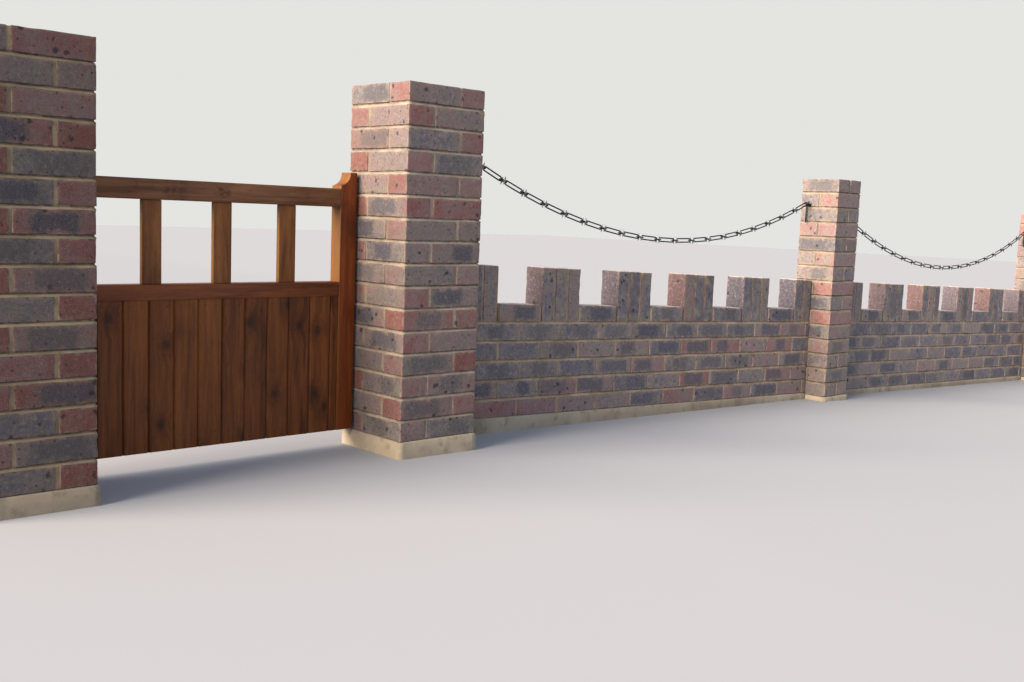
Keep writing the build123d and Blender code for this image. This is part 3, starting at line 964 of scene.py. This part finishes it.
# Nails at the head and foot of each whole board
(_, front, foot), (_, _, head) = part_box("boarding")
whole_boards = board_edges()[1:-1]
nails = []
for a, b in zip(whole_boards, whole_boards[1:]):
    x = (a + b) / 2
    for z in (head - 0.018, foot + 0.045):
        nails += [(x - 0.018, front + 0.0004, z), (x + 0.018, front + 0.0004, z - 0.002)]
domes("board_nails", nails, 0.0020, 0.0005, "gate", chain_mat, (0, -1, 0))

for place in ("lower", "upper"):
    band, pin = place + "_hinge_band", place + "_hinge_pin"
    softened(band, hinge_mat, "gate", STEEL_ARRIS, 90, "_metal", 40, 1)
    softened(pin, hinge_mat, "wall", STEEL_ARRIS, 91, "_metal", 40, 1)
    (x, _, low), (_, _, high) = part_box(band)
    heads = [(x + s, GATE_BACK + STRAP, (low + high) / 2) for s in (0.03, 0.14, 0.25, 0.36)]
    domes(place + "_band_bolts", heads, 0.0075, 0.0042, "gate", hinge_mat)
    (_, _, low), (x, _, high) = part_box(pin)
    heads = [(x - 0.012, REAR + STRAP, low + 0.012), (x - 0.012, REAR + STRAP, high - 0.012),
             (x - 0.048, REAR + STRAP, high - 0.012)]
    domes(place + "_pin_bolts", heads, 0.006, 0.0038, "wall", hinge_mat)


# -------------------- chains
WIRE = 0.003            # radius
BEND = 0.008            # radius of a link's round ends
PLAY = 0.0003           # between a link and the next
LONG_PITCH, SHORT_PITCH = 0.0936, 0.0274
EYE_REACH, EYE_RADIUS = 0.0215, 0.011
# Outlines of (radius, height)
SPIKE = ((0.0042, 0.0), (0.0044, 0.0025), (0.0037, 0.0055), (0.0024, 0.0105),
         (0.0012, 0.0150), (0.0005, 0.0169))
SPIKE_HEIGHT = 0.017
EYE_PLATE = ((0.0138, 0.0), (0.0138, 0.0016), (0.0118, 0.0029), (0.0045, 0.0032),
             (0.0031, 0.0045), (0.0030, 0.0125))


def tube(path, sides=10):
    """Round wire along a closed path; each ring is square to the path."""
    path = [Vector(p) for p in path]
    n = len(path)
    verts = []
    up = Vector((0, 0, 1))
    for i, p in enumerate(path):
        ahead = (path[(i + 1) % n] - path[i - 1]).normalized()
        side = ahead.cross(up).normalized()
        verts += [p + (side * cos + up * sin) * WIRE for cos, sin in circle(sides)]
    return verts, [tuple(v % len(verts) for v in quad) for quad in hoops(0, n + 1, sides)]


def link(inside):
    """A closed link lying flat in X and Y."""
    straight = inside / 2 + WIRE - BEND
    path = []
    for sign in (1, -1):
        for i in range(9):
            a = -math.pi / 2 + math.pi * i / 8
            path.append((sign * (straight + BEND * math.cos(a)), sign * BEND * math.sin(a), 0))
    return tube(path)


def spikes():
    """The four spikes of a short link, up and down from each long side."""
    verts, faces = [], []
    n = 10
    for side in (-1, 1):
        for up in (-1, 1):
            start = len(verts)
            for r, h in SPIKE:
                verts += [Vector((r * cos, side * BEND + up * r * sin, up * h))
                          for cos, sin in circle(n)]
            verts.append(Vector((0, side * BEND, up * SPIKE_HEIGHT)))
            faces += hoops(start, len(SPIKE), n)
            faces += point_cap(start + (len(SPIKE) - 1) * n, n)
    return verts, faces


def eye(corners, way):
    """An eye's ring and its turned plate, on a pier's face that looks along X (1) or back (-1)."""
    low, high = corners.min(0), corners.max(0)
    face = low[0] if way == 1 else high[0]
    _, y, z = Vector((low + high) / 2)
    x = face + way * EYE_REACH
    ring = tube([(x + EYE_RADIUS * cos, y + EYE_RADIUS * sin, z) for cos, sin in circle(24)])
    n = 20
    verts = [Vector((face + way * h, y + way * r * cos, z + r * sin))
             for r, h in EYE_PLATE for cos, sin in circle(n)]
    faces = hoops(0, len(EYE_PLATE), n)
    faces += [tuple(reversed(range(n))), tuple(range(len(verts) - n, len(verts)))]
    return ring, (verts, faces)


def islands(node):
    """Corners of each separate solid of a node, from left to right."""
    bm = bmesh.new()
    bm.from_mesh(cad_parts[node].data)
    bmesh.ops.remove_doubles(bm, verts=bm.verts, dist=1e-6)
    left = set(bm.verts)
    found = []
    while left:
        stack, group = [left.pop()], []
        while stack:
            v = stack.pop()
            group.append(v.co.copy())
            for e in v.link_edges:
                w = e.other_vert(v)
                if w in left:
                    left.remove(w)
                    stack.append(w)
        found.append(np.array(group))
    bm.free()
    return sorted(found, key=lambda g: g[:, 0].mean())


def laid(shape, centre, ahead, flat_way):
    """Moves a link's shape so that its length points ahead and its flat faces flat_way."""
    z = flat_way.normalized()
    x = ahead.normalized()
    y = z.cross(x).normalized()
    turn = Matrix((x, y, x.cross(y))).transposed()
    return [turn @ Vector(v) + centre for v in shape[0]], shape[1]


Y_AXIS, Z_AXIS = Vector((0, 1, 0)), Vector((0, 0, 1))
long_link, short_link = link(LONG_PITCH - PLAY), link(SHORT_PITCH - PLAY)
four_spikes = spikes()
for bay in ("near", "far"):
    groups = islands(bay + "_chain")
    middles = [Vector((g.min(0) + g.max(0)) / 2) for g in groups]
    # The spare link is the one that hangs upright
    spare = [i for i, g in enumerate(groups)
             if np.ptp(g[:, 0]) < 0.03 and np.ptp(g[:, 2]) > 0.08][0]
    run = [m for i, m in enumerate(middles) if i != spare]
    wires, tips = [], []
    for i, centre in enumerate(run):
        ahead = run[min(i + 1, len(run) - 1)] - run[max(i - 1, 0)]
        ahead.y = 0.0
        if i % 2 == 0:
            wires.append(laid(long_link, centre, ahead, Y_AXIS))
        else:
            up = ahead.normalized().cross(Y_AXIS) * -1
            wires.append(laid(short_link, centre, ahead, up))
            tips.append(laid(four_spikes, centre, ahead, up))
    g = groups[spare]
    across = g[np.argmax(g[:, 0])] - g[np.argmin(g[:, 0])]
    across = Vector((across[0], across[1], 0)).normalized()
    wires.append(laid(long_link, middles[spare], Z_AXIS, Z_AXIS.cross(across)))
    build(bay + "_chain_links", *merge(wires), "wall", chain_mat, "chain_steel",
          [bay + "_chain"])
    build(bay + "_chain_spikes", *merge(tips), "wall", tip_mat, "chain_steel", sharp=60)

    eyes = []
    for k, corners in enumerate(islands(bay + "_chain_eyes")):
        eyes += eye(corners, 1 if k == 0 else -1)
    build(bay + "_eye_rings", *merge(eyes), "wall", chain_mat, "chain_steel",
          [bay + "_chain_eyes"], sharp=45)


# -------------------- floor, light and camera
# The ground's (place along the wall, height)
GROUND = [(-40.0, 0.182), (-0.17, 0.182), (0.164, 0.178), (2.70, 0.116), (5.57, 0.010),
          (6.2, 0.002), (40.0, 0.002)]
ground_verts = [(x, y, z) for x, z in GROUND for y in (-40.0, 40.0)]
ground_faces = [(i, i + 2, i + 3, i + 1) for i in range(0, 2 * len(GROUND) - 2, 2)]
ground = bpy.data.meshes.new("floor")
ground.from_pydata(ground_verts, [], ground_faces)
ground.materials.append(floor_mat)
ground.polygons.foreach_set("use_smooth", [True] * len(ground.polygons))
floor = bpy.data.objects.new("floor", ground)
scene.collection.objects.link(floor)

# The world lights with a sky's colour and is seen in a pale grey
world = Shader("studio", bpy.data.worlds)
scene.world = world.owner
light = world.node("ShaderNodeBackground", {0: (0.83, 0.94, 1.18, 1.0), 1: 0.63}).outputs[0]
seen = world.node("ShaderNodeBackground", {0: "e4e4e1", 1: 1.0}).outputs[0]
rays = world.node("ShaderNodeLightPath").outputs
seen_by = rays["Is Camera Ray"]
for also in ("Is Glossy Ray", "Is Transmission Ray"):
    seen_by = world.math("MAXIMUM", seen_by, rays[also])
choice = world.node("ShaderNodeMixShader", {0: seen_by, 1: light, 2: seen}).outputs[0]
world.node("ShaderNodeOutputWorld", {0: choice})

sun = bpy.data.lights.new("key", "SUN")
sun.energy = 10.6
sun.color = (1.0, 0.84, 0.68)
sun.angle = math.radians(50)
key = bpy.data.objects.new("key", sun)
SUN_WAY = Vector((0.88, -0.09, -0.42))
key.rotation_euler = SUN_WAY.to_track_quat("-Z", "Y").to_euler()
scene.collection.objects.link(key)

# Camera from a fit of the model to the photograph, its place in millimetres from the front
# corner of the right gate pier
FOCAL_PX, PHOTO_WIDTH = 1103.9, 1024
PLACE = (-2208.86, -2898.05, 769.85)
PITCH, ROLL, YAW = -0.1133, 0.0389, 0.7507
ahead = Vector((math.sin(YAW) * math.cos(PITCH), math.cos(YAW) * math.cos(PITCH), math.sin(PITCH)))
right_0 = Vector((math.cos(YAW), -math.sin(YAW), 0))
up_0 = right_0.cross(ahead)
right = right_0 * math.cos(ROLL) + up_0 * math.sin(ROLL)
above = -right_0 * math.sin(ROLL) + up_0 * math.cos(ROLL)
cam = bpy.data.cameras.new("camera")
cam.sensor_width = 36.0
cam.sensor_fit = "HORIZONTAL"
cam.lens = cam.sensor_width * FOCAL_PX / PHOTO_WIDTH
cam.clip_end = 200.0
camera = bpy.data.objects.new("camera", cam)
turn = Matrix((right, above, -ahead)).transposed().to_4x4()
corner = Vector((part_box("right_gate_pier")[0].x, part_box("right_gate_pier")[0].y, GATE_LEVEL))
camera.matrix_world = Matrix.Translation(corner + Vector(PLACE) / 1000) @ turn
scene.collection.objects.link(camera)
scene.camera = camera
